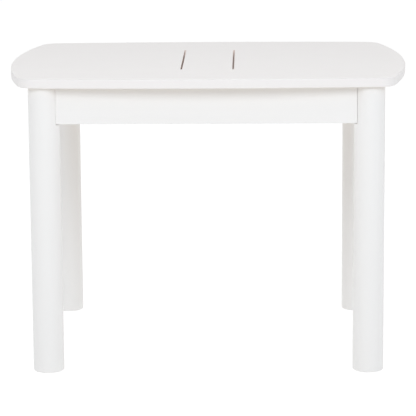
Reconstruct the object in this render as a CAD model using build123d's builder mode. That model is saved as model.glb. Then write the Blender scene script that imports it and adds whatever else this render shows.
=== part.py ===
"""Children's table: a bowed white board on four round legs, aprons and corner plates.

The origin is on the floor under the middle of the board. +X runs along the board's
length, +Y across it to the rear, and +Z is up. All lengths are in millimetres.
"""
from build123d import *
from math import acos, cos, sin, sqrt
import os

# Board: four bowed edges with small rounded corners
top_length = 700
top_depth = 540
top_thickness = 16
table_height = 515
corner_x = 314           # where the bowed edges would meet if the corners weren't rounded
corner_y = 259
corner_radius = 32
edge_radius = 2.5

# Two stopped grooves in the top, cut by lowering a panel saw, so each end rises in an arc
groove_spacing = 90
groove_length = 276
groove_width = 2.8       # the saw's kerf
groove_depth = 10
groove_chamfer = 0.4
saw_radius = 157.5

# Legs: round, with flats milled at the top for the apron ends and for the bolt
leg_spacing_x = 553      # between leg axes
leg_spacing_y = 454
leg_radius = 26.5
foot_radius = 3
apron_seat = 21          # from the leg's axis to the flat that an apron's end meets
bolt_seat = 22           # from the leg's axis to the flat that the bolt enters
shoulder_gap = 1.5       # shadow line between an apron and the shoulder below it

# Aprons
apron_height = 63.5
apron_thickness = 18
apron_edge_radius = 1.5

# Corner plates: bent sheet, with a wing on each apron and a web across the corner
plate_thickness = 2
plate_height = 44
plate_bend_radius = 3
wing_start = 46          # from the leg's axis, along the apron
wing_end = 82
wing_screw_pitch = 24
plate_bolt_hole_radius = 4.5

# Angle brackets that hold the board down on the aprons
angle_thickness = 1.5
angle_leg = 22
angle_width = 18
angle_bend_radius = 2
angle_screw_inset = 13   # from the corner of the angle to each of its screws
angle_spacing = 300      # between the two on a long apron

# Hanger bolts with their washers and nuts
bolt_radius = 4
bolt_in_leg = 38
bolt_tip = 5
bolt_past_nut = 4
nut_thickness = 6.5
nut_across_flats = 13
nut_chamfer = 0.7
washer_radius = 8
washer_thickness = 1.6

# Pan-head wood screws, used for both kinds of bracket
screw_radius = 2
screw_length = 14
screw_tip = 4
screw_head_radius = 4
screw_head_height = 2.4
screw_head_rounding = 1.2
screw_recess_width = 1
screw_recess_span = 4.4
screw_recess_depth = 1.4
screw_hole_radius = 2.25  # in the brackets

# Nail-on glides
glide_radius = 12
glide_thickness = 2.5
glide_edge_radius = 1
nail_radius = 1.2
nail_length = 18
nail_in_glide = 1.5

clearance = 0.05         # around every shank
hole_spare = 1           # how much deeper each blind hole is than what sits in it

# Levels and distances worked out from the above
top_underside = table_height - top_thickness
apron_bottom = top_underside - apron_height
apron_middle = apron_bottom + apron_height / 2
shoulder_level = apron_bottom - shoulder_gap
apron_face = sqrt(leg_radius**2 - apron_seat**2)     # outwards of the leg's axis, flush with the leg
apron_back = apron_face - apron_thickness            # the inner face, outwards of the leg's axis
web_distance = (wing_start - apron_back) / sqrt(2)   # from the leg's axis to the plate's web
groove_end = groove_length / 2
groove_floor = table_height - groove_depth
saw_turn = acos(1 - groove_depth / saw_radius)       # of the saw's rim, from the floor to the top
floor_end = groove_end - saw_radius * sin(saw_turn)
saw_mark = (floor_end + saw_radius * sin(saw_turn / 2),
            groove_floor + saw_radius * (1 - cos(saw_turn / 2)))
leg_x = leg_spacing_x / 2
leg_y = leg_spacing_y / 2
up = Vector(0, 0, 1)


def facing(origin, normal):
    """Plane at origin that faces along a level normal, with its own Y upwards."""
    return Plane(origin, x_dir=up.cross(Vector(normal)), z_dir=normal)


def bolt_plane(corner, distance):
    """Plane across a corner, at a distance from the leg's axis, facing into the table."""
    inwards = (corner.x_dir + corner.y_dir).normalized()
    return facing(corner.origin + inwards * distance + up * apron_middle, inwards)


def plate_screw_planes(corner):
    """Seats of the four screws of a corner plate: two on each wing."""
    planes = []
    for along, inwards in ((corner.x_dir, corner.y_dir), (corner.y_dir, corner.x_dir)):
        middle = corner.origin + along * (wing_start + wing_end) / 2
        seat = middle + inwards * (plate_thickness - apron_back)
        for level in (apron_middle - wing_screw_pitch / 2, apron_middle + wing_screw_pitch / 2):
            planes.append(facing(seat + up * level, inwards))
    return planes


def angle_screw_planes(place):
    """Seats of the two screws of an angle bracket: one faces inwards, the other down."""
    inwards = place.z_dir
    on_apron = place.origin + inwards * angle_thickness - up * angle_screw_inset
    on_board = place.origin + inwards * angle_screw_inset - up * angle_thickness
    return [facing(on_apron, inwards), Plane(on_board, x_dir=inwards, z_dir=-up)]


# In each corner's own plane, local +X and +Y both run inwards along an apron
corners = {
    "front_left": Plane((-leg_x, -leg_y, 0), x_dir=(1, 0, 0), z_dir=(0, 0, 1)),
    "front_right": Plane((leg_x, -leg_y, 0), x_dir=(0, 1, 0), z_dir=(0, 0, 1)),
    "rear_right": Plane((leg_x, leg_y, 0), x_dir=(-1, 0, 0), z_dir=(0, 0, 1)),
    "rear_left": Plane((-leg_x, leg_y, 0), x_dir=(0, -1, 0), z_dir=(0, 0, 1)),
}

# Each apron: the middle of its inner face, the way that face looks, and the leg spacing it spans
inner_x = leg_x + apron_back
inner_y = leg_y + apron_back
aprons = {
    "front_apron": (facing((0, -inner_y, apron_middle), (0, 1, 0)), leg_spacing_x),
    "rear_apron": (facing((0, inner_y, apron_middle), (0, -1, 0)), leg_spacing_x),
    "left_apron": (facing((-inner_x, 0, apron_middle), (1, 0, 0)), leg_spacing_y),
    "right_apron": (facing((inner_x, 0, apron_middle), (-1, 0, 0)), leg_spacing_y),
}

# Each angle bracket sits where an apron's inner face meets the board
angles = {
    "angle_front_left": facing((-angle_spacing / 2, -inner_y, top_underside), (0, 1, 0)),
    "angle_front_right": facing((angle_spacing / 2, -inner_y, top_underside), (0, 1, 0)),
    "angle_rear_left": facing((-angle_spacing / 2, inner_y, top_underside), (0, -1, 0)),
    "angle_rear_right": facing((angle_spacing / 2, inner_y, top_underside), (0, -1, 0)),
    "angle_left": facing((-inner_x, 0, top_underside), (1, 0, 0)),
    "angle_right": facing((inner_x, 0, top_underside), (-1, 0, 0)),
}

plate_screws_at = [seat for corner in corners.values() for seat in plate_screw_planes(corner)]
angle_screws_at = [seat for place in angles.values() for seat in angle_screw_planes(place)]
bolts_at = [bolt_plane(corner, bolt_seat) for corner in corners.values()]
os.makedirs("parts", exist_ok=True)


def save(part, name):
    """Label a finished piece and write it as its own STEP file."""
    part.label = name
    export_step(part, f"parts/{name}.step")


# Board
with BuildPart() as tabletop:
    with BuildSketch(Plane.XY.offset(top_underside)):
        with BuildLine():
            ThreePointArc((-corner_x, -corner_y), (0, -top_depth / 2), (corner_x, -corner_y))
            ThreePointArc((corner_x, -corner_y), (top_length / 2, 0), (corner_x, corner_y))
            ThreePointArc((corner_x, corner_y), (0, top_depth / 2), (-corner_x, corner_y))
            ThreePointArc((-corner_x, corner_y), (-top_length / 2, 0), (-corner_x, -corner_y))
        outline = make_face()
        fillet(outline.vertices(), corner_radius)
    extrude(amount=top_thickness)
    rims = tabletop.edges().group_by(Axis.Z)
    fillet(rims[0] + rims[-1], edge_radius)
    for middle in (-groove_spacing / 2, groove_spacing / 2):
        with BuildSketch(Plane.YZ.offset(middle)):
            with BuildLine():
                rising = ThreePointArc((floor_end, groove_floor), saw_mark,
                                       (groove_end, table_height))
                mirror(rising, about=Plane.YZ)
                Line((-floor_end, groove_floor), (floor_end, groove_floor))
                Line((-groove_end, table_height), (groove_end, table_height))
            make_face()
        extrude(amount=groove_width / 2, both=True, mode=Mode.SUBTRACT)
    rims = [wire.edges() for wire in tabletop.faces().sort_by(Axis.Z)[-1].inner_wires()]
    chamfer([edge for rim in rims for edge in rim.filter_by(Axis.Y)], groove_chamfer)
    with Locations(*angle_screws_at[1::2]):
        Hole(screw_radius + clearance, depth=screw_length + hole_spare / 2)
save(tabletop.part, "tabletop")

# Legs
for name, corner in corners.items():
    with BuildPart() as leg:
        with BuildSketch(corner.offset(glide_thickness)):
            Circle(leg_radius)
        extrude(amount=top_underside - glide_thickness)
        fillet(leg.edges().group_by(Axis.Z)[0], foot_radius)
        with BuildSketch(corner.offset(shoulder_level)):
            for angle, seat in ((0, apron_seat), (45, bolt_seat), (90, apron_seat)):
                with PolarLocations(seat + leg_radius / 2, 1, start_angle=angle):
                    Rectangle(leg_radius, 2 * leg_radius)
        extrude(amount=top_underside - shoulder_level, mode=Mode.SUBTRACT)
        with Locations(bolt_plane(corner, bolt_seat)):
            Hole(bolt_radius + clearance, depth=bolt_in_leg + hole_spare)
        with Locations(Plane(corner.origin + up * glide_thickness, z_dir=-up)):
            Hole(nail_radius + clearance, depth=nail_length + hole_spare)
    save(leg.part, f"leg_{name}")

# Aprons
for name, (face, span) in aprons.items():
    with BuildPart() as apron:
        with BuildSketch(face):
            Rectangle(span - 2 * apron_seat, apron_height)
        extrude(amount=-apron_thickness)
        long_edges = apron.edges().filter_by(Axis(face.origin, face.x_dir))
        fillet(long_edges.group_by(Axis.Z)[0], apron_edge_radius)
        with Locations(*plate_screws_at, *angle_screws_at[0::2]):
            Hole(screw_radius + clearance, depth=screw_length + hole_spare)
    save(apron.part, name)

# Corner plates
for name, corner in corners.items():
    with BuildPart() as plate:
        with BuildSketch(corner.offset(apron_middle)):
            with BuildLine():
                FilletPolyline((wing_end, -apron_back), (wing_start, -apron_back),
                               (-apron_back, wing_start), (-apron_back, wing_end),
                               radius=plate_bend_radius)
                offset(amount=plate_thickness, side=Side.RIGHT)
            make_face()
        extrude(amount=plate_height / 2, both=True)
        with Locations(bolt_plane(corner, web_distance + plate_thickness)):
            Hole(plate_bolt_hole_radius, depth=2 * plate_thickness)
        with Locations(*plate_screw_planes(corner)):
            Hole(screw_hole_radius, depth=2 * plate_thickness)
    save(plate.part, f"corner_plate_{name}")

# Angle brackets
for name, place in angles.items():
    with BuildPart() as angle_bracket:
        with BuildSketch(Plane(place.origin, x_dir=place.z_dir, z_dir=-place.x_dir)):
            with BuildLine():
                FilletPolyline((0, -angle_leg), (0, 0), (angle_leg, 0), radius=angle_bend_radius)
                offset(amount=angle_thickness, side=Side.RIGHT)
            make_face()
        extrude(amount=angle_width / 2, both=True)
        with Locations(*angle_screw_planes(place)):
            Hole(screw_hole_radius, depth=2 * angle_thickness)
    save(angle_bracket.part, name)

# One wood screw, seated at the origin with its head upwards
with BuildPart() as screw:
    Cylinder(screw_head_radius, screw_head_height, align=(Align.CENTER, Align.CENTER, Align.MIN))
    fillet(screw.edges().group_by(Axis.Z)[-1], screw_head_rounding)
    with BuildSketch(Plane.XY.offset(screw_head_height - screw_recess_depth)):
        Rectangle(screw_recess_span, screw_recess_width)
        Rectangle(screw_recess_width, screw_recess_span)
    extrude(amount=screw_recess_depth, mode=Mode.SUBTRACT)
    Cylinder(screw_radius, screw_length - screw_tip, align=(Align.CENTER, Align.CENTER, Align.MAX))
    with Locations((0, 0, screw_tip - screw_length)):
        Cone(0.2, screw_radius, screw_tip, align=(Align.CENTER, Align.CENTER, Align.MAX))

with BuildPart() as plate_screws:
    with Locations(*plate_screws_at):
        add(screw.part)
save(plate_screws.part, "plate_screws")

with BuildPart() as angle_screws:
    with Locations(*angle_screws_at):
        add(screw.part)
save(angle_screws.part, "angle_screws")

# One hanger bolt, with the leg's bolt flat at the origin and its machine thread upwards
nut_seat = web_distance - bolt_seat + plate_thickness + washer_thickness
with BuildPart() as bolt:
    Cylinder(bolt_radius, nut_seat + nut_thickness + bolt_past_nut,
             align=(Align.CENTER, Align.CENTER, Align.MIN))
    chamfer(bolt.edges().group_by(Axis.Z)[-1], bolt_radius / 6)
    Cylinder(bolt_radius, bolt_in_leg - bolt_tip, align=(Align.CENTER, Align.CENTER, Align.MAX))
    with Locations((0, 0, bolt_tip - bolt_in_leg)):
        Cone(bolt_radius / 3, bolt_radius, bolt_tip, align=(Align.CENTER, Align.CENTER, Align.MAX))

with BuildPart() as hanger_bolts:
    with Locations(*bolts_at):
        add(bolt.part)
save(hanger_bolts.part, "hanger_bolts")

with BuildPart() as washer:
    with Locations((0, 0, nut_seat - washer_thickness)):
        Cylinder(washer_radius, washer_thickness, align=(Align.CENTER, Align.CENTER, Align.MIN))
        Cylinder(plate_bolt_hole_radius, washer_thickness,
                 align=(Align.CENTER, Align.CENTER, Align.MIN), mode=Mode.SUBTRACT)

with BuildPart() as bolt_washers:
    with Locations(*bolts_at):
        add(washer.part)
save(bolt_washers.part, "bolt_washers")

with BuildPart() as nut:
    with Locations((0, 0, nut_seat)):
        Cylinder(nut_across_flats / sqrt(3), nut_thickness,
                 align=(Align.CENTER, Align.CENTER, Align.MIN))
    chamfer(nut.edges().group_by(Axis.Z)[0] + nut.edges().group_by(Axis.Z)[-1], nut_chamfer)
    with BuildSketch(Plane.XY.offset(nut_seat)):
        RegularPolygon(nut_across_flats / 2, 6, major_radius=False)
    extrude(amount=nut_thickness, mode=Mode.INTERSECT)
    with Locations((0, 0, nut_seat + nut_thickness)):
        Hole(bolt_radius + clearance, depth=nut_thickness)

with BuildPart() as bolt_nuts:
    with Locations(*bolts_at):
        add(nut.part)
save(bolt_nuts.part, "bolt_nuts")

# Glides and the nails that hold them
for name, corner in corners.items():
    with BuildPart() as glide:
        with BuildSketch(corner):
            Circle(glide_radius)
        extrude(amount=glide_thickness)
        fillet(glide.edges().group_by(Axis.Z)[0], glide_edge_radius)
        with Locations(Plane(corner.origin + up * glide_thickness, z_dir=up)):
            Hole(nail_radius + clearance, depth=nail_in_glide)
    save(glide.part, f"glide_{name}")

with BuildPart() as glide_nails:
    with Locations(*[corner.offset(glide_thickness - nail_in_glide) for corner in corners.values()]):
        Cylinder(nail_radius, nail_length, align=(Align.CENTER, Align.CENTER, Align.MIN))
save(glide_nails.part, "glide_nails")
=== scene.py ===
"""Children's table: the visible surfaces of a white lacquered table, made round its CAD frame.

The file is laid out as an add-on and is run as a script. Each operator makes one kind of
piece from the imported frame, in metres: +X along the board, +Y to the rear, +Z up.
"""
import math

import bmesh
import bpy
from mathutils import Matrix, Vector


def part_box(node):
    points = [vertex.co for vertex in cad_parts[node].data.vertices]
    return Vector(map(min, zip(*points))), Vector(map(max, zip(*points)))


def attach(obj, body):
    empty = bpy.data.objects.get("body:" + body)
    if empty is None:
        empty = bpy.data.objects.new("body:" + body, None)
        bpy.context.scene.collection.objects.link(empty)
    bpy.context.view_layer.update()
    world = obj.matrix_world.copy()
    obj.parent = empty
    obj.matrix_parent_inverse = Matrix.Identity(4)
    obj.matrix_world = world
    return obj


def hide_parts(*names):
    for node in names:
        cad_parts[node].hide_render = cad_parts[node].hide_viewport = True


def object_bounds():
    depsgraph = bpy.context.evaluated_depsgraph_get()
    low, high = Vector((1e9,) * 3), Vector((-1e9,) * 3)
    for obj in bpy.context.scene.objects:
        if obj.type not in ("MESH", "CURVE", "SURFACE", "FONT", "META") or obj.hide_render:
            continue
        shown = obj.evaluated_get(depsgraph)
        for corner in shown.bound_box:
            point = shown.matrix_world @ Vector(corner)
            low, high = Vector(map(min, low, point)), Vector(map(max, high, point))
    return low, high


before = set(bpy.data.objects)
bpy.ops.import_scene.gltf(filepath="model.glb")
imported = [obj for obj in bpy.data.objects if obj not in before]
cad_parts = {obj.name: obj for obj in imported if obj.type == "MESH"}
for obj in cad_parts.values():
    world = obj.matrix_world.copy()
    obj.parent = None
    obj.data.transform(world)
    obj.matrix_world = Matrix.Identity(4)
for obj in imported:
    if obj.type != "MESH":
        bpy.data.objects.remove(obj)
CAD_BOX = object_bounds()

bl_info = {
    "name": "Children's table",
    "version": (1, 0, 0),
    "blender": (4, 5, 0),
    "location": "View3D > Sidebar > Table",
    "description": "Builds the surfaces, fasteners and stage of a white children's table",
    "category": "Add Mesh",
}

BODY = "root"
CORNERS = {"front_left": (-1, -1), "front_right": (1, -1), "rear_right": (1, 1), "rear_left": (-1, 1)}
UP = Vector((0, 0, 1))
MM = 0.001

# How finely curves are drawn
OUTLINE_STEPS = (24, 10, 24)
GROOVE_STEPS = 16
ARC_STEPS = 4
CORNER_STEPS = 6
BEND_STEPS = 8
HOLE_STEPS = 32
LEAST_ROUNDING = 0.02 * MM

# Threads: the crest and the roots, as shares of the shank's radius
CREST = 0.985
SCREW_ROOT = 0.62
LAG_ROOT = 0.7
MACHINE_ROOT = 0.84
# A ridge's foot as a share of the pitch, and its flat crest as a share of its foot
RIDGE_FOOT = 0.7
RIDGE_FLAT = 0.15

# A pan head, in radii of its screw's thread
HEAD_RADIUS = 2
HEAD_HEIGHT = 1.2
HEAD_ROUNDING = 0.6
# Of a cross recess's span, at its floor
RECESS_FLOOR = 0.55
# Radians from one screw's recess to the next one's, so that no two end up in line
RECESS_TURN = 2.4
NAIL_RINGS = 11

# Each softbox's place and size, and the names of its power and its tint in the stage's settings
SOFTBOXES = {
    "front_softbox": ((-0.2, -3.4, 2.6), (3.0, 1.6), "front_power", "front_tint"),
    "left_softbox": ((-3.2, -2.4, 2.0), (2.4, 2.0), "left_power", "side_tint"),
    "right_softbox": ((3.2, -2.4, 2.0), (2.4, 2.0), "right_power", "side_tint"),
    "top_softbox": ((0.0, -0.4, 3.2), (2.6, 2.6), "top_power", "front_tint"),
}
SOFTBOX_AIM = 0.7
# The surround brightens between these two headings, as the rearward part of a unit direction.
SURROUND_TURNS = (-0.2, 0.6)


# Sizes and finishes that a user would change

def number(name, description, default, **kind):
    """A property for a number that isn't negative, of a kind such as a power or a factor."""
    return bpy.props.FloatProperty(name=name, description=description, default=default, min=0, **kind)


def length(name, description, millimetres):
    """A length property with its default given in millimetres."""
    return number(name, description, millimetres * MM, unit="LENGTH", precision=5)


def power(name, description, watts):
    """A property for a lamp's power."""
    return number(name, description, watts, subtype="POWER")


def turning(name, description, degrees):
    """An angle property with its default given in degrees."""
    return bpy.props.FloatProperty(name=name, description=description, default=math.radians(degrees),
                                   subtype="ANGLE")


def colour(name, description, value):
    """A colour property whose default is an sRGB hex value."""
    return bpy.props.FloatVectorProperty(name=name, description=description, subtype="COLOR",
                                         size=3, min=0, max=1, default=linear(value))


def linear(value):
    """sRGB hex, such as "#F0EEEB", as a linear colour."""
    parts = [int(value[i:i + 2], 16) / 255 for i in (1, 3, 5)]
    return tuple(p / 12.92 if p <= 0.04045 else ((p + 0.055) / 1.055) ** 2.4 for p in parts)


class BoardSettings(bpy.types.PropertyGroup):
    """The board's outline, rounding and grooves."""
    corner_x: length("Corner X", "Where two bowed edges would meet, from the board's middle along X", 314)
    corner_y: length("Corner Y", "Where two bowed edges would meet, from the board's middle along Y", 259)
    corner_radius: length("Corner radius", "Rounding of the four corners in plan", 32)
    edge_radius: length("Edge radius", "Rounding of the board's upper and lower edges", 2.5)
    groove_spacing: length("Groove spacing", "Between the two grooves, middle to middle", 90)
    groove_length: length("Groove length", "End to end", 276)
    groove_width: length("Groove width", "Kerf of the saw that cut the grooves", 2.8)
    groove_depth: length("Groove depth", "At the middle of a groove", 10)
    groove_arris: length("Groove arris", "Sanded edge along the grooves' rims", 0.4)
    saw_radius: length("Saw radius", "Of the blade that was lowered into the top", 157.5)


class LegSettings(bpy.types.PropertyGroup):
    """The flats at the top of each leg and the rounding at its foot."""
    shoulder_rise: length("Shoulder rise", "Of the shoulder towards the flats, left by the cutter", 0.2)
    apron_seat: length("Apron seat", "From the leg's axis to the flat that an apron's end meets", 21)
    bolt_seat: length("Bolt seat", "From the leg's axis to the flat that the bolt enters", 22)
    shoulder_gap: length("Shoulder gap", "Shadow line between an apron and the shoulder under it", 1.5)
    shoulder_arris: length("Shoulder arris", "Sanded rounding of the shoulder's rim", 0.5)
    foot_radius: length("Foot radius", "Rounding at the foot", 3)


class ApronSettings(bpy.types.PropertyGroup):
    """The sanded edges of the aprons."""
    edge_radius: length("Edge radius", "Rounding of the long lower edges", 1.5)
    arris: length("Arris", "Sanded rounding of the ends and the upper edges", 0.4)
    joint_gap: length("Joint gap", "Shadow line between an apron's end and its leg", 0.1)
    slack_gap: length("Slack gap", "The same where a joint has drawn up less, at the front right", 0.35)


class MetalSettings(bpy.types.PropertyGroup):
    """Bent sheet and threaded fasteners."""
    wing_start: length("Wing start", "From the leg's axis to where a corner plate's web begins", 46)
    plate_thickness: length("Plate thickness", "Sheet of the corner plates", 2)
    plate_bend: length("Plate bend", "Outer radius of the corner plates' bends", 3)
    plate_corner: length("Plate corner", "Rounding of the corner plates' free corners", 6)
    bolt_hole: length("Bolt hole", "Diameter of the hole for the hanger bolt", 9)
    screw_hole: length("Screw hole", "Diameter of the holes for the wood screws", 4.5)
    wing_screw_pitch: length("Wing screw pitch", "Between the two screws of a wing", 24)
    angle_thickness: length("Angle thickness", "Sheet of the angle brackets", 1.5)
    angle_bend: length("Angle bend", "Outer radius of the angle brackets' bend", 2)
    angle_corner: length("Angle corner", "Rounding of the angle brackets' free corners", 4)
    angle_screw_inset: length("Angle screw inset", "From the bend's outer corner to each screw", 13)
    screw_diameter: length("Screw diameter", "Wood screws, over the thread", 4)
    screw_pitch: length("Screw pitch", "Thread pitch of the wood screws", 1.8)
    bolt_diameter: length("Bolt diameter", "Hanger bolts, over the thread", 8)
    bolt_pitch: length("Bolt pitch", "Pitch of the hanger bolts' machine thread", 1.25)
    lag_pitch: length("Wood thread pitch", "Pitch of the hanger bolts' wood thread", 3)
    bolt_in_leg: length("Bolt in leg", "Depth of the hanger bolts' wood thread", 38)
    nut_flats: length("Nut flats", "Across the flats of the nuts", 13)
    recess_span: length("Recess span", "Across the cross recess of a wood screw", 4.4)
    recess_width: length("Recess width", "Of one arm of the cross recess", 1)
    recess_depth: length("Recess depth", "Of the cross recess", 1.4)


class GlideSettings(bpy.types.PropertyGroup):
    """The moulded glides and their nails."""
    edge_radius: length("Edge radius", "Rounding of a glide's lower edge", 1)
    nail_radius: length("Nail radius", "Of a nail over its rings", 1.2)
    ring_depth: length("Ring depth", "Of the grooves between a nail's rings", 0.2)


class FinishSettings(bpy.types.PropertyGroup):
    """Colours of the finishes, two of which hold painted shade, and how glossy the lacquer is."""
    board_white: colour("Board white", "Lacquer on the fibreboard", "#F3F0EE")
    # Painted shade: the groove colour is darker and warmer than the lacquer, partly for the thin spray
    # and partly to stand for the shade down in a groove.
    groove_coat: colour("Groove coat", "Fibreboard under the spray that reaches a groove", "#E2D6D0")
    # Painted shade: the underside colour is darker and warmer than the lacquer, partly for the single
    # coat and partly to deepen and warm the shade under the board.
    thin_coat: colour("Thin coat", "Fibreboard under one coat, on the board's underside", "#D6C7B6")
    wood_white: colour("Wood white", "Lacquer on the beech", "#F5F4F2")
    zinc: colour("Zinc", "Zinc plate", "#C9CBCD")
    nylon: colour("Nylon", "Glides", "#E4E3DE")
    satin: number("Satin", "Roughness of the lacquer", 0.42, max=1, subtype="FACTOR")


class StageSettings(bpy.types.PropertyGroup):
    """Floor, lights and camera."""
    floor_size: number("Floor size", "Side of the square floor", 60, unit="LENGTH")
    floor_white: colour("Floor white", "Opal sheet of the studio floor", "#7C7C7C")
    floor_glow: number("Floor glow", "Light that the floor throws up at the table", 0.77)
    floor_seen: number("Floor as seen", "Light that reaches the eye from the floor", 0.9)
    surround_front: number("Surround in front", "Light from the room before the table", 0.25)
    surround_rear: number("Surround behind", "Light from the white wall behind the table", 0.9)
    front_power: power("Front power", "Front softbox", 47)
    left_power: power("Left power", "Left softbox", 22)
    right_power: power("Right power", "Right softbox", 31)
    top_power: power("Top power", "Overhead softbox", 19)
    front_tint: colour("Front tint", "Colour of the front and overhead softboxes", "#FFFFFF")
    side_tint: colour("Side tint", "Colour of the side softboxes", "#E6F0FF")
    lens: number("Lens", "Focal length", 193.1, unit="CAMERA")
    camera_at: bpy.props.FloatVectorProperty(name="Camera place", description="In the table's frame",
                                             default=(0.0711, -3.9765, 1.0121), subtype="XYZ",
                                             unit="LENGTH")
    camera_tilt: turning("Tilt", "Downwards from level", 10.936)
    camera_turn: turning("Turn", "To the left of straight ahead", 1.064)
    camera_roll: turning("Roll", "Anticlockwise about the view", -0.400)


class TableSettings(bpy.types.PropertyGroup):
    """All of the table's settings."""
    board: bpy.props.PointerProperty(type=BoardSettings)
    leg: bpy.props.PointerProperty(type=LegSettings)
    apron: bpy.props.PointerProperty(type=ApronSettings)
    metal: bpy.props.PointerProperty(type=MetalSettings)
    glide: bpy.props.PointerProperty(type=GlideSettings)
    finish: bpy.props.PointerProperty(type=FinishSettings)
    stage: bpy.props.PointerProperty(type=StageSettings)


# Materials

def add_node(tree, kind, inputs=None, **settings):
    """Adds a node; each input is given a value, or an output socket to be linked to."""
    node = tree.nodes.new(kind)
    for name, value in settings.items():
        setattr(node, name, value)
    for name, value in (inputs or {}).items():
        if isinstance(value, bpy.types.NodeSocket):
            tree.links.new(value, node.inputs[name])
        else:
            node.inputs[name].default_value = value
    return node


def noise(tree, place, size, stretch=(1, 1, 1), detail=2.0, roughness=0.5):
    """Noise whose features are about size metres wide, and longer along each axis by stretch."""
    scale = [1 / (size * s) for s in stretch]
    mapped = add_node(tree, "ShaderNodeMapping", {"Vector": place, "Scale": scale}).outputs[0]
    return add_node(tree, "ShaderNodeTexNoise", {"Vector": mapped, "Scale": 1.0, "Detail": detail,
                                                 "Roughness": roughness}).outputs["Fac"]


def patterned_material(name, tint, share, cloud, dull=None, reliefs=(), **uniform):
    """A material made of noises, each of which is given as the settings of noise().

    Its tint varies by a share of its own brightness with the cloud. Its roughness runs between
    two values with a noise, and each relief is a noise, a height and a strength.
    """
    material = bpy.data.materials.new(name)
    material.use_nodes = True
    tree = material.node_tree
    shader = tree.nodes["Principled BSDF"]
    place = add_node(tree, "ShaderNodeTexCoord").outputs["Object"]
    low = [c * (1 - share) for c in tint] + [1]
    high = [min(1, c * (1 + share)) for c in tint] + [1]
    mix = add_node(tree, "ShaderNodeMix", {"Factor": noise(tree, place, **cloud)}, data_type="RGBA")
    mix.inputs["A"].default_value = low
    mix.inputs["B"].default_value = high
    tree.links.new(mix.outputs["Result"], shader.inputs["Base Color"])
    if dull:
        pattern, least, most = dull
        # Most of a noise lies between 0.3 and 0.7.
        spread = add_node(tree, "ShaderNodeMapRange", {"Value": noise(tree, place, **pattern),
                                                       "From Min": 0.3, "From Max": 0.7,
                                                       "To Min": least, "To Max": most})
        tree.links.new(spread.outputs[0], shader.inputs["Roughness"])
    under = {}
    for pattern, height, weight in reliefs:
        bump = add_node(tree, "ShaderNodeBump", {"Height": noise(tree, place, **pattern),
                                                 "Distance": height, "Strength": weight, **under})
        under = {"Normal": bump.outputs[0]}
        tree.links.new(bump.outputs[0], shader.inputs["Normal"])
    for socket, value in uniform.items():
        shader.inputs[socket].default_value = value
    return material


def lacquered_fibreboard(name, finish):
    """Fibreboard, sprayed with white satin lacquer: even, with a faint orange peel."""
    # The spray lies a little drier in some places, which breaks up the sheen.
    dull = ({"size": 0.04}, finish.satin - 0.03, finish.satin + 0.03)
    # Orange peel is about 3 mm from crest to crest and 10 microns deep.
    peel = ({"size": 3 * MM, "detail": 1}, 0.02 * MM, 0.6)
    return patterned_material(name, finish.board_white, 0.006, {"size": 0.09, "detail": 3}, dull,
                              [peel], IOR=1.5)


def sealed_fibreboard(name, finish, coat):
    """Fibreboard under one thin coat: its brown warms the white, and its fibres stand up a little. Its
    darker, warmer colour is partly the thin coat and partly painted shade, under the board and down in
    the grooves.
    """
    # Fibres are about 0.1 mm thick, and are drawn at 0.8 mm so that they show.
    fibre = {"size": 0.8 * MM, "detail": 2}
    return patterned_material(name, getattr(finish, coat), 0.03, {"size": 0.02, "detail": 4},
                              (fibre, 0.55, 0.7), [(fibre, 0.05 * MM, 0.6)], IOR=1.5)


def lacquered_beech(name, finish, along):
    """Beech under white satin lacquer: the grain still shows as faint ridges along the piece."""
    # Beech has short flecks, here about 1 mm wide and 25 mm long.
    stretch = [25 if axis == along else 1 for axis in "XYZ"]
    fleck = {"size": 1 * MM, "stretch": stretch, "detail": 2}
    # The tint follows the years of growth, which are about 13 mm apart on a flat-sawn face.
    growth = {"size": 9 * MM, "stretch": [v * 1.5 for v in stretch], "detail": 2}
    reliefs = [(fleck, 0.015 * MM, 0.6), ({"size": 3 * MM, "detail": 1}, 0.015 * MM, 0.5)]
    return patterned_material(name, finish.wood_white, 0.008, growth,
                              (fleck, finish.satin - 0.02, finish.satin + 0.04), reliefs, IOR=1.5)


def zinc_plated_steel(name, finish, scratch):
    """Bright zinc plate on steel: cool grey, with soft blotches and fine tumbling marks."""
    marks = {"size": scratch, "stretch": (1, 6, 1), "detail": 3, "roughness": 0.65}
    return patterned_material(name, finish.zinc, 0.06, {"size": 7 * MM, "detail": 3},
                              (marks, 0.26, 0.42), [(marks, 0.01 * MM, 0.5)], Metallic=1)


def moulded_nylon(name, finish):
    """Moulded nylon: milky, with a fine spark-eroded grain from the mould."""
    grain = {"size": 0.4 * MM, "detail": 1}
    return patterned_material(name, finish.nylon, 0.02, {"size": 4 * MM}, (grain, 0.45, 0.6),
                              [(grain, 0.02 * MM, 0.5)], IOR=1.53)


def opal_acrylic(stage):
    """Opal acrylic sheet lit from below: an even white that hardly takes a shadow."""
    uniform = {"Emission Color": (1, 1, 1, 1), "Roughness": 0.9, "IOR": 1.49, "Specular IOR Level": 0.1}
    material = patterned_material("opal_acrylic", stage.floor_white, 0.004,
                                  {"size": 0.05, "detail": 3}, **uniform)
    tree = material.node_tree
    # The sheet is a little brighter to the eye than its light on the table would make it.
    seen = add_node(tree, "ShaderNodeLightPath").outputs["Is Camera Ray"]
    glow = add_node(tree, "ShaderNodeMapRange", {"Value": seen, "To Min": stage.floor_glow,
                                                 "To Max": stage.floor_seen}).outputs[0]
    tree.links.new(glow, tree.nodes["Principled BSDF"].inputs["Emission Strength"])
    return material


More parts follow.
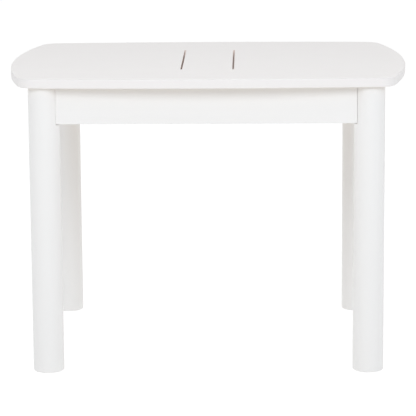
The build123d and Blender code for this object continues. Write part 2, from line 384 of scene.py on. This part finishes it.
FINISHES = {
    "lacquered_fibreboard": (lacquered_fibreboard,),
    # Both sealed finishes are partly painted shade: under the board and in its grooves.
    "sealed_fibreboard": (sealed_fibreboard, "thin_coat"),
    "sealed_saw_cut": (sealed_fibreboard, "groove_coat"),
    "lacquered_beech_x": (lacquered_beech, "X"),
    "lacquered_beech_y": (lacquered_beech, "Y"),
    "lacquered_beech_z": (lacquered_beech, "Z"),
    "zinc_sheet": (zinc_plated_steel, 0.5 * MM),
    "zinc_fastener": (zinc_plated_steel, 0.3 * MM),
    "moulded_nylon": (moulded_nylon,),
}


def finish_of(name):
    """The named material, made when it is first asked for."""
    maker, *details = FINISHES[name]
    finish = bpy.context.scene.kids_table.finish
    return bpy.data.materials.get(name) or maker(name, finish, *details)


# Mesh building

def lathe(bm, rings, segments, place, extra_angles=(), hollow=False, open_top=False):
    """Skins a turned shape. A ring is a height and a radius, or a function of the angle.

    A solid shape is closed by a flat at each end unless its top is left open, and a hollow
    one by joining its last ring to its first. Returns the last ring.
    """
    angles = sorted({round(a % math.tau, 9) for a in extra_angles}
                    | {round(math.tau * i / segments, 9) for i in range(segments)})
    loops = []
    for height, radius in rings:
        loop = []
        for angle in angles:
            r = radius(angle) if callable(radius) else radius
            loop.append(bm.verts.new(place @ Vector((r * math.cos(angle), r * math.sin(angle), height))))
        loops.append(loop)
    pairs = list(zip(loops, loops[1:] + loops[:1]))
    for lower, upper in pairs if hollow else pairs[:-1]:
        skin(bm, lower, upper)
    if not hollow:
        bm.faces.new(loops[0][::-1])
    if not hollow and not open_top:
        bm.faces.new(loops[-1])
    return loops[-1]


def skin(bm, lower, upper):
    """Quads between two closed loops of as many points each."""
    return [bm.faces.new((lower[i - 1], lower[i], upper[i], upper[i - 1])) for i in range(len(lower))]


def fill(bm, *loops):
    """Fills the flat area between closed loops: the first is the outer one."""
    edges = []
    for loop in loops:
        for i, vert in enumerate(loop):
            edges.append(bm.edges.get((loop[i - 1], vert)) or bm.edges.new((loop[i - 1], vert)))
    filled = bmesh.ops.triangle_fill(bm, use_beauty=True, use_dissolve=False, edges=edges)
    return [item for item in filled["geom"] if isinstance(item, bmesh.types.BMFace)]


def rounding(radius, steps=5):
    """Pairs of (how far in, how far back) for a quarter round, from the side to the face."""
    turns = [math.pi / 2 * i / steps for i in range(steps + 1)]
    return [(radius * (1 - math.cos(t)), radius * (1 - math.sin(t))) for t in turns]


def make_piece(name, bm, finishes, nodes=None, bevel=0.0):
    """Turns a bmesh into a finished piece that rides on the table and stands for CAD nodes.

    A face takes the one of the comma-separated finishes that its material index counts to.
    """
    bmesh.ops.recalc_face_normals(bm, faces=bm.faces)
    mesh = bpy.data.meshes.new(name)
    bm.to_mesh(mesh)
    bm.free()
    mesh.shade_smooth()
    mesh.set_sharp_from_angle(angle=math.radians(35))
    for finish in finishes.split(","):
        mesh.materials.append(finish_of(finish))
    piece = bpy.data.objects.new(name, mesh)
    bpy.context.scene.collection.objects.link(piece)
    if bevel:
        edge = piece.modifiers.new("edge", "BEVEL")
        edge.width = bevel
        edge.segments = 2
        edge.limit_method = "ANGLE"
        edge.angle_limit = math.radians(50)
    normals = piece.modifiers.new("normals", "WEIGHTED_NORMAL")
    normals.keep_sharp = True
    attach(piece, BODY)
    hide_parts(*(nodes or [name]))


def solids_of(node):
    """The points of each separate solid of a CAD node."""
    bm = bmesh.new()
    bm.from_mesh(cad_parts[node].data)
    bmesh.ops.remove_doubles(bm, verts=bm.verts, dist=1e-6)
    left = set(bm.verts)
    solids = []
    while left:
        found, front = set(), [min(left, key=lambda v: v.index)]
        while front:
            vert = front.pop()
            if vert not in found:
                found.add(vert)
                front.extend(edge.other_vert(vert) for edge in vert.link_edges)
        left -= found
        solids.append([vert.co.copy() for vert in found])
    bm.free()
    return solids


def span(points, axis):
    """Lowest and highest place of some points along an axis."""
    places = [point.dot(axis) for point in points]
    return min(places), max(places)


def corner_frame(corner):
    """Matrix of a corner: origin on the leg's axis, +X and +Y inwards along the aprons."""
    low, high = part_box("leg_" + corner)
    side_x, side_y = CORNERS[corner]
    along = Vector((-side_x, 0, 0)) if side_x == side_y else Vector((0, -side_y, 0))
    middle = (low + high) / 2
    return axes_matrix(Vector((middle.x, middle.y, 0)), along, UP)


def axes_matrix(origin, x_axis, z_axis):
    """Matrix with its origin, its X and its Z given."""
    turn = Matrix((x_axis, z_axis.cross(x_axis), z_axis)).transposed()
    return Matrix.Translation(origin) @ turn.to_4x4()


# Board

def bowed_outline(board, half_x, half_y, inset):
    """The board's outline, anticlockwise: three arcs in each quarter, given by their normals."""
    sag_x, sag_y = half_x - board.corner_x, half_y - board.corner_y
    short_radius = (board.corner_y ** 2 + sag_x ** 2) / (2 * sag_x)
    long_radius = (board.corner_x ** 2 + sag_y ** 2) / (2 * sag_y)
    short_centre = Vector((half_x - short_radius, 0))
    long_centre = Vector((0, half_y - long_radius))
    round_centre = circles_meet(short_centre, short_radius - board.corner_radius,
                                long_centre, long_radius - board.corner_radius)
    first = math.atan2(*reversed(round_centre - short_centre))
    second = math.atan2(*reversed(round_centre - long_centre))
    arcs = ((short_centre, short_radius, 0, first), (round_centre, board.corner_radius, first, second),
            (long_centre, long_radius, second, math.pi / 2))
    quarter = []
    for (centre, radius, start, end), count in zip(arcs, OUTLINE_STEPS):
        for i in range(count):
            turn = start + (end - start) * i / count
            quarter.append(centre + (radius - inset) * Vector((math.cos(turn), math.sin(turn))))
    top = Vector((0, half_y - inset))
    right = quarter + [top]
    left = [Vector((-p.x, p.y)) for p in reversed(quarter)]
    upper = right + left
    lower = [Vector((p.x, -p.y)) for p in reversed(upper[1:-1])]
    return upper + lower


def circles_meet(centre_a, radius_a, centre_b, radius_b):
    """Where two circles cross, on the left of the line from the first to the second."""
    across = centre_b - centre_a
    apart = across.length
    along = (apart ** 2 + radius_a ** 2 - radius_b ** 2) / (2 * apart)
    aside = math.sqrt(radius_a ** 2 - along ** 2)
    return centre_a + across * along / apart + Vector((-across.y, across.x)) * aside / apart


def groove_rings(bm, board, middle, top):
    """Skins a stopped groove from its rim down to its floor, and returns the rim."""
    half, end, arris = board.groove_width / 2, board.groove_length / 2, board.groove_arris
    turn = math.acos(1 - board.groove_depth / board.saw_radius)
    run_out = board.saw_radius * math.sin(turn)
    places = []
    for i in range(GROOVE_STEPS + 1):
        angle = turn * i / GROOVE_STEPS
        places.append((end - run_out + board.saw_radius * math.sin(angle),
                       board.groove_depth - board.saw_radius * (1 - math.cos(angle))))
    places = [(-y, depth) for y, depth in reversed(places)] + places
    rings = []
    for grow, sink in ((arris, 0), (0, arris), (0, board.groove_depth)):
        left, right = [], []
        for i, (y, depth) in enumerate(places):
            at_end = math.copysign(grow, y) if i in (0, len(places) - 1) else 0
            z = top - min(depth, sink)
            right.append(bm.verts.new((middle + half + grow, y + at_end, z)))
            left.append(bm.verts.new((middle - half - grow, y + at_end, z)))
        rings.append((left, right))
    (rim_left, rim_right), (floor_left, floor_right) = rings[0], rings[-1]
    faces = []
    for (left, right), (lower_left, lower_right) in zip(rings, rings[1:]):
        faces += skin(bm, lower_right[::-1] + lower_left, right[::-1] + left)
    for i in range(1, len(places)):
        faces.append(bm.faces.new((floor_left[i - 1], floor_right[i - 1], floor_right[i], floor_left[i])))
    return rim_right[::-1] + rim_left, faces


def add_loop(bm, points, height):
    """A closed loop of vertices at one height."""
    return [bm.verts.new((p.x, p.y, height)) for p in points]


class KT_OT_board(bpy.types.Operator):
    """Make the bowed board with its two grooves"""
    bl_idname = "kids_table.board"
    bl_label = "Board"

    def execute(self, context):
        board = context.scene.kids_table.board
        low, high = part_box("tabletop")
        half_x, half_y = (high.x - low.x) / 2, (high.y - low.y) / 2
        bm = bmesh.new()
        profile = [(inset, low.z + back) for inset, back in reversed(rounding(board.edge_radius))]
        profile += [(inset, high.z - back) for inset, back in rounding(board.edge_radius)]
        rims = [add_loop(bm, bowed_outline(board, half_x, half_y, inset), z) for inset, z in profile]
        for lower, upper in zip(rims, rims[1:]):
            skin(bm, lower, upper)
        # The underside takes the sealed finish, whose colour holds painted shade under the board.
        for face in fill(bm, rims[0]):
            face.material_index = 1
        above = [rims[-1]]
        for middle in (-board.groove_spacing / 2, board.groove_spacing / 2):
            rim, faces = groove_rings(bm, board, middle, high.z)
            above.append(rim)
            # The grooves take the saw-cut finish, whose colour holds painted shade in the recess.
            for face in faces:
                face.material_index = 2
        fill(bm, *above)
        bmesh.ops.remove_doubles(bm, verts=bm.verts, dist=1e-7)
        bmesh.ops.dissolve_degenerate(bm, edges=bm.edges, dist=1e-7)
        make_piece("board", bm, "lacquered_fibreboard,sealed_fibreboard,sealed_saw_cut",
                   ["tabletop"])
        return {"FINISHED"}


# Legs

def leg_section(leg, radius):
    """Radius of a leg's milled top by angle, and the angles of its vertical corners."""
    flats = ((0, leg.apron_seat), (math.pi / 4, leg.bolt_seat), (math.pi / 2, leg.apron_seat))

    def section(angle):
        reach = radius
        for facing, seat in flats:
            slope = math.cos(angle - facing)
            if slope > 0:
                reach = min(reach, seat / slope)
        return reach

    edge = math.acos(leg.apron_seat / radius)
    across = (leg.bolt_seat * math.sqrt(2) - leg.apron_seat) / leg.apron_seat
    inner = math.atan(across)
    return section, (-edge, inner, math.pi / 2 - inner, math.pi / 2 + edge)


class KT_OT_legs(bpy.types.Operator):
    """Make the four turned legs, each with flats milled at its top"""
    bl_idname = "kids_table.legs"
    bl_label = "Legs"

    def execute(self, context):
        leg = context.scene.kids_table.leg
        apron_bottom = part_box("front_apron")[0].z
        for corner in CORNERS:
            low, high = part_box("leg_" + corner)
            radius = (high.x - low.x) / 2
            section, corners = leg_section(leg, radius)
            shoulder = apron_bottom - leg.shoulder_gap
            rings = [(low.z + back, radius - inset)
                     for inset, back in reversed(rounding(leg.foot_radius, 6))]
            rings += [(shoulder - back, lambda angle, inset=inset: max(section(angle), radius - inset))
                      for inset, back in rounding(leg.shoulder_arris, 3)]
            rings += [(shoulder + leg.shoulder_rise, section), (high.z, section)]
            bm = bmesh.new()
            lathe(bm, rings, segments=72, place=corner_frame(corner), extra_angles=corners)
            make_piece("turned_leg_" + corner, bm, "lacquered_beech_z",
                       ["leg_" + corner])
        return {"FINISHED"}


# Aprons

def apron_section(apron, width, height, inset):
    """Section of an apron round its middle: rounded below, eased above, anticlockwise."""
    points = []
    for start, radius, side_x, side_y in ((0, apron.arris, 1, 1), (90, apron.arris, -1, 1),
                                          (180, apron.edge_radius, -1, -1),
                                          (270, apron.edge_radius, 1, -1)):
        for i in range(ARC_STEPS + 1):
            turn = math.radians(start + 90 * i / ARC_STEPS)
            keep = max(radius - inset, LEAST_ROUNDING)
            points.append((side_x * (width / 2 - inset - keep) + keep * math.cos(turn),
                           side_y * (height / 2 - inset - keep) + keep * math.sin(turn)))
    return points


class KT_OT_aprons(bpy.types.Operator):
    """Make the four aprons, with sanded edges and ends"""
    bl_idname = "kids_table.aprons"
    bl_label = "Aprons"

    def execute(self, context):
        apron = context.scene.kids_table.apron
        for side, along in (("front", "X"), ("rear", "X"), ("left", "Y"), ("right", "Y")):
            low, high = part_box(side + "_apron")
            size = high - low
            run, width = (size.x, size.y) if along == "X" else (size.y, size.x)
            x_axis = Vector((0, -1, 0)) if along == "X" else Vector((1, 0, 0))
            place = axes_matrix((low + high) / 2, x_axis, x_axis.cross(UP))
            first = (apron.slack_gap if side == "front" else apron.joint_gap) - run / 2
            last = run / 2 - apron.joint_gap
            ends = [(inset, first + back) for inset, back in reversed(rounding(apron.arris, 2))]
            ends += [(inset, last - back) for inset, back in rounding(apron.arris, 2)]
            bm = bmesh.new()
            loops = []
            for inset, reach in ends:
                section = apron_section(apron, width, size.z, inset)
                loops.append([bm.verts.new(place @ Vector((x, y, reach))) for x, y in section])
            for lower, upper in zip(loops, loops[1:]):
                skin(bm, lower, upper)
            bm.faces.new(loops[0])
            bm.faces.new(loops[-1])
            make_piece(side + "_apron_board", bm, "lacquered_beech_" + along.lower(),
                       [side + "_apron"])
        return {"FINISHED"}


# Bent sheet

def folded_point(runs, turn, radius, distance):
    """Point and inner normal, in the section's plane, at a distance along a folded strip.

    The strip sets off along +X and bends to its right between its straight runs.
    """
    point, heading = Vector((0, 0)), 0.0
    for i, run in enumerate(runs):
        ahead = Vector((math.cos(heading), math.sin(heading)))
        right = Vector((ahead.y, -ahead.x))
        if distance <= run or i == len(runs) - 1:
            return point + ahead * distance, right
        point += ahead * run
        distance -= run
        bend = min(distance / radius, turn)
        normal = Matrix.Rotation(-bend, 2) @ right
        point = point + right * radius - normal * radius
        if bend < turn:
            return point, normal
        heading -= turn
        distance -= radius * turn
    raise ValueError("a folded strip needs at least one run")


def fold_sheet(bm, place, runs, turn, radius, thickness, height, corner, holes):
    """Cuts a blank with rounded corners and holes, then folds it and gives it its thickness.

    A hole is its distance along the blank, its height and its radius.
    """
    total = sum(runs) + radius * turn * (len(runs) - 1)
    blank = []
    for start, end, side in ((0, total, 1), (90, 0, 1), (180, 0, -1), (270, total, -1)):
        inwards = -1 if end else 1
        for i in range(CORNER_STEPS + 1):
            angle = math.radians(start + 90 * i / CORNER_STEPS)
            blank.append(Vector((end + inwards * corner + corner * math.cos(angle),
                                 side * (height / 2 - corner) + corner * math.sin(angle))))
    loops = [add_loop(bm, blank, 0)]
    for along, level, hole_radius in holes:
        turns = [math.tau * i / HOLE_STEPS for i in range(HOLE_STEPS)]
        circle = [Vector((along + hole_radius * math.cos(t), level + hole_radius * math.sin(t)))
                  for t in turns]
        loops.append(add_loop(bm, circle, 0))
    fill(bm, *loops)
    start = 0
    for run in runs[:-1]:
        start += run
        for i in range(BEND_STEPS + 1):
            everything = bm.verts[:] + bm.edges[:] + bm.faces[:]
            cut = start + radius * turn * i / BEND_STEPS
            bmesh.ops.bisect_plane(bm, geom=everything, plane_co=(cut, 0, 0), plane_no=(1, 0, 0))
        start += radius * turn
    rims = [edge for edge in bm.edges if edge.is_boundary]
    faces = bm.faces[:]
    twins = {}
    for vert in bm.verts[:]:
        point, normal = folded_point(runs, turn, radius, vert.co.x)
        inner = point + normal * thickness
        twins[vert] = bm.verts.new(place @ Vector((inner.x, inner.y, vert.co.y)))
        vert.co = place @ Vector((point.x, point.y, vert.co.y))
    for face in faces:
        bm.faces.new([twins[vert] for vert in reversed(face.verts)])
    for edge in rims:
        a, b = edge.verts
        bm.faces.new((a, b, twins[b], twins[a]))


class KT_OT_corner_plates(bpy.types.Operator):
    """Make the four bent corner plates"""
    bl_idname = "kids_table.corner_plates"
    bl_label = "Corner plates"

    def execute(self, context):
        metal = context.scene.kids_table.metal
        turn = math.radians(45)
        tangent = metal.plate_bend * math.tan(turn / 2)
        for corner in CORNERS:
            node = "corner_plate_" + corner
            frame_matrix = corner_frame(corner)
            low, high = (frame_matrix.inverted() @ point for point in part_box(node))
            face, wing_end = min(low.x, high.x), max(low.x, high.x)
            wing = wing_end - metal.wing_start
            web = (metal.wing_start - face) * math.sqrt(2)
            runs = (wing - tangent, web - 2 * tangent, wing - tangent)
            total = sum(runs) + 2 * turn * metal.plate_bend
            holes = [(total / 2, 0, metal.bolt_hole / 2)]
            for along in (wing / 2, total - wing / 2):
                for level in (-metal.wing_screw_pitch / 2, metal.wing_screw_pitch / 2):
                    holes.append((along, level, metal.screw_hole / 2))
            place = frame_matrix @ Matrix.Translation((wing_end, face, (low.z + high.z) / 2))
            place = place @ Matrix.Rotation(math.pi, 4, "Z")
            bm = bmesh.new()
            fold_sheet(bm, place, runs, turn, metal.plate_bend, metal.plate_thickness,
                       high.z - low.z, metal.plate_corner, holes)
            make_piece("bent_" + node, bm, "zinc_sheet", [node], bevel=0.25 * MM)
        return {"FINISHED"}


class KT_OT_angle_brackets(bpy.types.Operator):
    """Make the six angle brackets under the board"""
    bl_idname = "kids_table.angle_brackets"
    bl_label = "Angle brackets"

    def execute(self, context):
        metal = context.scene.kids_table.metal
        turn = math.radians(90)
        inwards_of = {"angle_front_left": (0, 1), "angle_front_right": (0, 1),
                      "angle_rear_left": (0, -1), "angle_rear_right": (0, -1),
                      "angle_left": (1, 0), "angle_right": (-1, 0)}
        for node, (x, y) in inwards_of.items():
            inwards = Vector((x, y, 0))
            low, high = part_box(node)
            middle = (low + high) / 2
            reach = high.z - low.z
            start = middle - inwards * reach / 2
            start.z = low.z
            run = reach - metal.angle_bend
            total = 2 * run + turn * metal.angle_bend
            from_end = reach - metal.angle_screw_inset
            holes = [(along, 0, metal.screw_hole / 2) for along in (from_end, total - from_end)]
            width = abs((high - low).dot(inwards.cross(UP)))
            bm = bmesh.new()
            fold_sheet(bm, axes_matrix(start, UP, UP.cross(-inwards)), (run, run), turn,
                       metal.angle_bend, metal.angle_thickness, width, metal.angle_corner, holes)
            make_piece("bent_" + node, bm, "zinc_sheet", [node], bevel=0.2 * MM)
        return {"FINISHED"}


# Screws, bolts and glides

def thread(pitch, shank, root):
    """Radius of a thread by angle and height: a ridge with a narrow flat crest."""
    def radius(angle, height):
        phase = (height / pitch - angle / math.tau) % 1
        ridge = min(1, max(0, (1 - abs(phase - 0.5) * 2 / RIDGE_FOOT) / (1 - RIDGE_FLAT)))
        return shank * (root + (CREST - root) * ridge)
    return radius


def threaded_rings(shape, low, high, step, taper=0.0, tip=1.0):
    """Rings of a thread from low to high; over the taper it narrows to a share at the low end."""
    count = max(2, round((high - low) / step))
    rings = []
    for i in range(count + 1):
        height = low + (high - low) * i / count
        share = 1 if height - low >= taper else tip + (1 - tip) * (height - low) / taper
        rings.append((height, lambda angle, height=height, share=share: share * shape(angle, height)))
    return rings


def cross_recess(bm, place, metal, rim, top):
    """Closes a screw's head inside its rim with a cross recess that narrows downwards."""
    def cross(share, height):
        a, b = metal.recess_span / 2 * share, metal.recess_width / 2
        corners = ((a, -b), (a, b), (b, b), (b, a), (-b, a), (-b, b),
                   (-a, b), (-a, -b), (-b, -b), (-b, -a), (b, -a), (b, -b))
        return [bm.verts.new(place @ Vector((x, y, height))) for x, y in corners]

    mouth, floor = cross(1, top), cross(RECESS_FLOOR, top - metal.recess_depth)
    skin(bm, mouth, floor)
    bm.faces.new(floor)
    fill(bm, rim, mouth)


def wood_screw(bm, place, metal, low):
    """A pan-head wood screw: its seat is at the origin and its point at the height low."""
    radius = metal.screw_diameter / 2
    head, height = radius * HEAD_RADIUS, radius * HEAD_HEIGHT
    point, ease, neck = 0.08 * MM, 0.25 * MM, radius * 0.75
    shape = thread(metal.screw_pitch, radius, SCREW_ROOT)
    rings = [(low, point)]
    rings += threaded_rings(shape, low + 0.2 * MM, -radius, metal.screw_pitch / 8, 4 * MM, 0.12)
    rings += [(-radius * 0.8, neck), (-0.3 * MM, neck), (0, head - ease), (ease, head)]
    rings += [(height - back, head - inset) for inset, back in rounding(radius * HEAD_ROUNDING, 4)]
    rim = lathe(bm, rings, 20, place, open_top=True)
    cross_recess(bm, place, metal, rim, height)


def screw_places(node):
    """For each screw of a CAD node, a matrix with +Z out of its head, and the lowest place."""
    head_height = bpy.context.scene.kids_table.metal.screw_diameter / 2 * HEAD_HEIGHT
    places = []
    for points in solids_of(node):
        spans = [span(points, axis) for axis in Matrix.Identity(3)]
        longest = max(range(3), key=lambda i: spans[i][1] - spans[i][0])
        axis = Vector([1 if i == longest else 0 for i in range(3)])
        centre = Vector([(low + high) / 2 for low, high in spans])
        widest = max(points, key=lambda p: (p - centre - axis * (p - centre).dot(axis)).length)
        if (widest - centre).dot(axis) < 0:
            axis = -axis
        low, high = span(points, axis)
        seat = centre + axis * (high - head_height - centre.dot(axis))
        across = UP if abs(axis.z) < 0.5 else Vector((1, 0, 0))
        places.append((axes_matrix(seat, across, axis), low - high + head_height))
    return places


class KT_OT_screws(bpy.types.Operator):
    """Make the wood screws of the corner plates and the angle brackets"""
    bl_idname = "kids_table.screws"
    bl_label = "Wood screws"

    def execute(self, context):
        metal = context.scene.kids_table.metal
        for node in ("plate_screws", "angle_screws"):
            bm = bmesh.new()
            for i, (place, low) in enumerate(screw_places(node)):
                wood_screw(bm, place @ Matrix.Rotation(i * RECESS_TURN, 4, "Z"), metal, low)
            make_piece("threaded_" + node, bm, "zinc_fastener", [node])
        return {"FINISHED"}


def bolt_frame(corner):
    """Matrix of a hanger bolt: +Z out of the leg, origin on the leg's axis at the bolt's level."""
    inwards = (corner_frame(corner).to_3x3() @ Vector((1, 1, 0))).normalized()
    low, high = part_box("corner_plate_" + corner)
    origin = corner_frame(corner).translation.copy()
    origin.z = (low.z + high.z) / 2
    return axes_matrix(origin, UP, inwards)


def spans_at_corner(node, corner):
    """Lowest and highest place, along a corner's bolt, of the solid of a node that is there."""
    place = bolt_frame(corner)
    near = min(solids_of(node), key=lambda points: (points[0] - place.translation).length)
    return span([place.inverted() @ point for point in near], UP)


def nut_radius(flats, half_height):
    """Radius of a hexagonal nut by angle and by height from its middle, with turned chamfers."""
    def radius(angle, height):
        hexagon = flats / 2 / math.cos((angle + math.pi / 6) % (math.pi / 3) - math.pi / 6)
        turned = flats / 2 * 0.98 + (half_height - abs(height)) * math.tan(math.radians(60))
        return min(hexagon, turned)
    return radius


class KT_OT_bolts(bpy.types.Operator):
    """Make the four hanger bolts with their washers and nuts"""
    bl_idname = "kids_table.bolts"
    bl_label = "Hanger bolts"

    def execute(self, context):
        metal = context.scene.kids_table.metal
        radius = metal.bolt_diameter / 2
        bolts, washers, nuts = bmesh.new(), bmesh.new(), bmesh.new()
        for corner in CORNERS:
            place = bolt_frame(corner)
            low, high = spans_at_corner("hanger_bolts", corner)
            middle = low + metal.bolt_in_leg
            wood = thread(metal.lag_pitch, radius, LAG_ROOT)
            machine = thread(metal.bolt_pitch, radius, MACHINE_ROOT)
            # A plain neck parts the pointed wood thread from the chamfered machine thread.
            point, neck, end = 0.3 * MM, radius * 0.85, radius * 0.75
            rings = [(low, point)]
            rings += threaded_rings(wood, low + 0.2 * MM, middle - 3 * MM, metal.lag_pitch / 8,
                                    6 * MM, 0.25)
            rings += [(middle - 2.6 * MM, neck), (middle, neck)]
            rings += threaded_rings(machine, middle + 0.4 * MM, high - 0.6 * MM, metal.bolt_pitch / 6)
            rings += [(high, end)]
            lathe(bolts, rings, 24, place)

            low, high = spans_at_corner("bolt_washers", corner)
            hole, rim, edge = metal.bolt_hole / 2, 2 * radius, 0.3 * MM
            lathe(washers, [(low, hole), (low, rim - edge / 2), (low + edge / 2, rim),
                            (high - edge, rim), (high, rim - edge), (high, hole + edge / 2),
                            (high - edge / 2, hole)], 48, place, hollow=True)

            low, high = spans_at_corner("bolt_nuts", corner)
            half, centre = (high - low) / 2, (high + low) / 2
            shape = nut_radius(metal.nut_flats, half)
            levels = [half * t for t in (-1, -0.97, -0.93, -0.88, -0.8, 0.8, 0.88, 0.93, 0.97, 1)]
            rings = [(centre - half, radius + 0.5 * MM)]
            rings += [(centre + t, lambda angle, t=t: shape(angle, t)) for t in levels]
            rings += [(centre + half, radius + 0.5 * MM), (centre + half - 0.5 * MM, radius + 0.05 * MM),
                      (centre - half + 0.5 * MM, radius + 0.05 * MM)]
            lathe(nuts, rings, 72, place, hollow=True)
        make_piece("threaded_hanger_bolts", bolts, "zinc_fastener", ["hanger_bolts"])
        make_piece("punched_washers", washers, "zinc_fastener", ["bolt_washers"])
        make_piece("hexagon_nuts", nuts, "zinc_fastener", ["bolt_nuts"])
        return {"FINISHED"}


class KT_OT_glides(bpy.types.Operator):
    """Make the four glides and their ring-shank nails"""
    bl_idname = "kids_table.glides"
    bl_label = "Glides"

    def execute(self, context):
        glide = context.scene.kids_table.glide
        crest, dip = glide.nail_radius, glide.ring_depth
        nails = bmesh.new()
        start, end = span([p for points in solids_of("glide_nails") for p in points], UP)
        for corner in CORNERS:
            low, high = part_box("glide_" + corner)
            radius = (high.x - low.x) / 2
            place = Matrix.Translation(((low.x + high.x) / 2, (low.y + high.y) / 2, 0))
            rings = [(low.z + back, radius - inset)
                     for inset, back in reversed(rounding(glide.edge_radius))]
            rings += [(high.z - 0.2 * MM, radius), (high.z, radius - 0.2 * MM)]
            bm = bmesh.new()
            lathe(bm, rings, 64, place)
            make_piece("moulded_glide_" + corner, bm, "moulded_nylon", ["glide_" + corner])
            rings = [(start, crest)]
            for i in range(1, NAIL_RINGS + 1):
                level = start + (end - start) * i / (NAIL_RINGS + 2)
                rings += [(level, crest), (level + 0.3 * MM, crest - dip)]
            rings += [(end - 2 * MM, crest - dip / 2), (end, dip / 2)]
            lathe(nails, rings, 16, place)
        make_piece("ring_shank_nails", nails, "zinc_fastener", ["glide_nails"])
        return {"FINISHED"}


# Stage

def add_floor(stage, level):
    """The studio floor, at the level of the table's feet."""
    bm = bmesh.new()
    bmesh.ops.create_grid(bm, x_segments=2, y_segments=2, size=stage.floor_size / 2)
    mesh = bpy.data.meshes.new("studio_floor")
    bm.to_mesh(mesh)
    bm.free()
    mesh.materials.append(opal_acrylic(stage))
    floor = bpy.data.objects.new("studio_floor", mesh)
    floor.location.z = level
    bpy.context.scene.collection.objects.link(floor)


def add_room(stage):
    """A white room: dimmer before the table than behind it, and pure white to the eye."""
    world = bpy.data.worlds.new("white_room")
    world.use_nodes = True
    tree = world.node_tree
    heading = add_node(tree, "ShaderNodeTexCoord").outputs["Generated"]
    rearwards = add_node(tree, "ShaderNodeSeparateXYZ", {"Vector": heading}).outputs["Y"]
    start, end = SURROUND_TURNS
    wall = add_node(tree, "ShaderNodeMapRange", {"Value": rearwards, "From Min": start, "From Max": end,
                                                 "To Min": stage.surround_front,
                                                 "To Max": stage.surround_rear},
                    interpolation_type="SMOOTHSTEP").outputs[0]
    room = tree.nodes["Background"]
    room.inputs["Color"].default_value = (1, 1, 1, 1)
    tree.links.new(wall, room.inputs["Strength"])
    seen = add_node(tree, "ShaderNodeBackground", {"Strength": 1.0, "Color": (1, 1, 1, 1)})
    ray = add_node(tree, "ShaderNodeLightPath").outputs["Is Camera Ray"]
    both = add_node(tree, "ShaderNodeMixShader", {0: ray, 1: room.outputs[0], 2: seen.outputs[0]})
    tree.links.new(both.outputs[0], tree.nodes["World Output"].inputs["Surface"])
    bpy.context.scene.world = world


def add_softbox(name, place, target, size, watts, tint):
    """A rectangular softbox that faces a target."""
    data = bpy.data.lights.new(name, "AREA")
    data.shape = "RECTANGLE"
    data.size, data.size_y = size
    data.energy = watts
    data.color = tint
    light = bpy.data.objects.new(name, data)
    light.location = place
    light.rotation_euler = (target - place).to_track_quat("-Z", "Y").to_euler()
    bpy.context.scene.collection.objects.link(light)


def add_camera(stage):
    """The scene's camera."""
    data = bpy.data.cameras.new("camera")
    data.lens = stage.lens
    data.clip_end = 100
    camera = bpy.data.objects.new("camera", data)
    level = Matrix.Rotation(math.radians(90) - stage.camera_tilt, 4, "X")
    turn = Matrix.Rotation(stage.camera_turn, 4, "Z")
    roll = Matrix.Rotation(stage.camera_roll, 4, "Z")
    camera.matrix_world = Matrix.Translation(stage.camera_at) @ turn @ level @ roll
    bpy.context.scene.collection.objects.link(camera)
    bpy.context.scene.camera = camera


class KT_OT_stage(bpy.types.Operator):
    """Make the floor, the lights and the camera"""
    bl_idname = "kids_table.stage"
    bl_label = "Stage"

    def execute(self, context):
        stage = context.scene.kids_table.stage
        low, high = CAD_BOX
        add_floor(stage, low.z)
        add_room(stage)
        target = Vector((0, 0, high.z * SOFTBOX_AIM))
        for name, (place, size, watts, tint) in SOFTBOXES.items():
            add_softbox(name, Vector(place), target, size, getattr(stage, watts), getattr(stage, tint))
        add_camera(stage)
        context.scene.view_settings.view_transform = "Standard"
        return {"FINISHED"}


# Add-on

OPERATORS = (KT_OT_board, KT_OT_legs, KT_OT_aprons, KT_OT_corner_plates, KT_OT_angle_brackets,
             KT_OT_screws, KT_OT_bolts, KT_OT_glides, KT_OT_stage)
SETTINGS = (BoardSettings, LegSettings, ApronSettings, MetalSettings, GlideSettings, FinishSettings,
            StageSettings, TableSettings)


class KT_PT_table(bpy.types.Panel):
    """Lists the table's operators and settings"""
    bl_idname = "KT_PT_table"
    bl_label = "Children's table"
    bl_space_type = "VIEW_3D"
    bl_region_type = "UI"
    bl_category = "Table"

    def draw(self, context):
        layout = self.layout
        for operator in OPERATORS:
            layout.operator(operator.bl_idname)
        table = context.scene.kids_table
        for group in ("board", "leg", "apron", "metal", "glide", "finish", "stage"):
            box = layout.box()
            box.label(text=group.capitalize())
            settings = getattr(table, group)
            for name in settings.__annotations__:
                box.prop(settings, name)


CLASSES = SETTINGS + OPERATORS + (KT_PT_table,)


def register():
    for cls in CLASSES:
        bpy.utils.register_class(cls)
    bpy.types.Scene.kids_table = bpy.props.PointerProperty(type=TableSettings)


def unregister():
    del bpy.types.Scene.kids_table
    for cls in reversed(CLASSES):
        bpy.utils.unregister_class(cls)


def main():
    """Makes every piece and the stage."""
    register()
    for operator in OPERATORS:
        group, name = operator.bl_idname.split(".")
        getattr(getattr(bpy.ops, group), name)()


if __name__ == "__main__":
    main()
